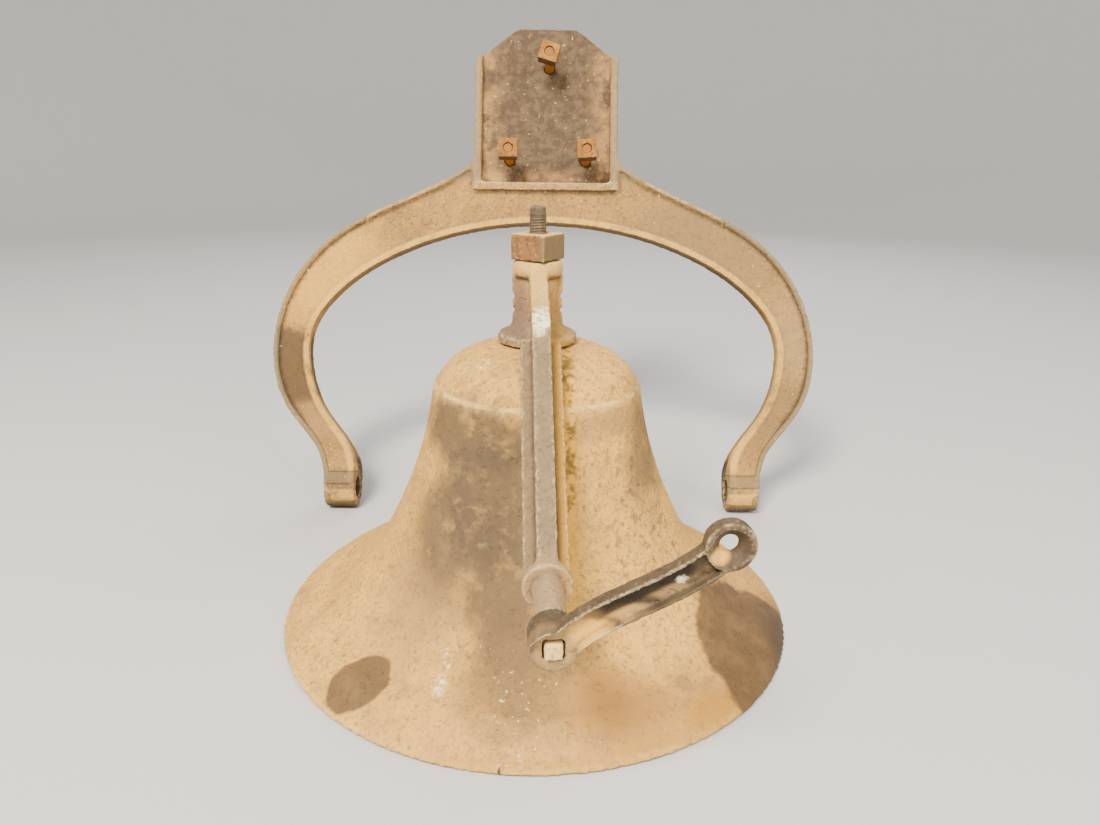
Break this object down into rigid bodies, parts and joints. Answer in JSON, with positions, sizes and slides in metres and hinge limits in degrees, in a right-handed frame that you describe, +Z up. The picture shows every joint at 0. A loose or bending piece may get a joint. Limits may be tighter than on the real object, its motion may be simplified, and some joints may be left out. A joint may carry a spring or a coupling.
{
  "type": "yard dinner bell",
  "caption": "Flared cast bell with its yoke, crank lever and clapper, standing on its mouth before its leaning omega hanger.",
  "frame": {"origin": "centre of the bell's mouth, on the surface that it stands on", "axes": "+Z up through the bell's crown; -Y is the crank's side, and +Y the side that the hanger leans back to; +X is to the right seen from the crank's side"},
  "size_m": [0.547, 0.596, 0.4659],
  "materials": {
    "bell_iron": "thin rust and ochre dust over dark brown iron, matt, with bare dark patches",
    "yoke_iron": "dusty grey-brown casting, worn lighter along its ribs",
    "crank_iron": "dark casting with light worn edges",
    "hanger_iron": "tan and brown rust, dark in the channels and the pocket",
    "yoke_nut_iron": "reddish brown rust with a dusty top",
    "post_nut_iron": "orange-tan rust",
    "bolt_steel": "dark rusted wrought iron or steel",
    "clapper_iron": "dark rusted iron, bright only where it strikes"
  },
  "bodies": {
    "hanger": {"hanger": "hanger_iron", "post_bolt_top": "bolt_steel", "post_nut_top": "post_nut_iron", "post_bolt_left": "bolt_steel", "post_nut_left": "post_nut_iron", "post_bolt_right": "bolt_steel", "post_nut_right": "post_nut_iron"},
    "bell": {"bell": "bell_iron", "yoke": "yoke_iron", "crank_lever": "crank_iron", "clapper_bolt": "bolt_steel", "crown_washer": "bolt_steel", "yoke_nut": "yoke_nut_iron", "clapper_pin": "bolt_steel", "cotter": "bolt_steel"},
    "clapper": {"clapper_rod": "clapper_iron", "clapper_ball": "clapper_iron"}
  },
  "joints": [
    {"name": "bell_swing", "type": "hinge", "parent": "hanger", "child": "bell", "pos_m": [0, 0, 0.1175], "axis": [-0.0558, 0.9984, 0], "range_deg": [-45, 45]},
    {"name": "clapper_swing", "type": "hinge", "parent": "bell", "child": "clapper", "pos_m": [0, 0, 0.187], "axis": [-0.0558, 0.9984, 0], "range_deg": [-33, 33]}
  ]
}
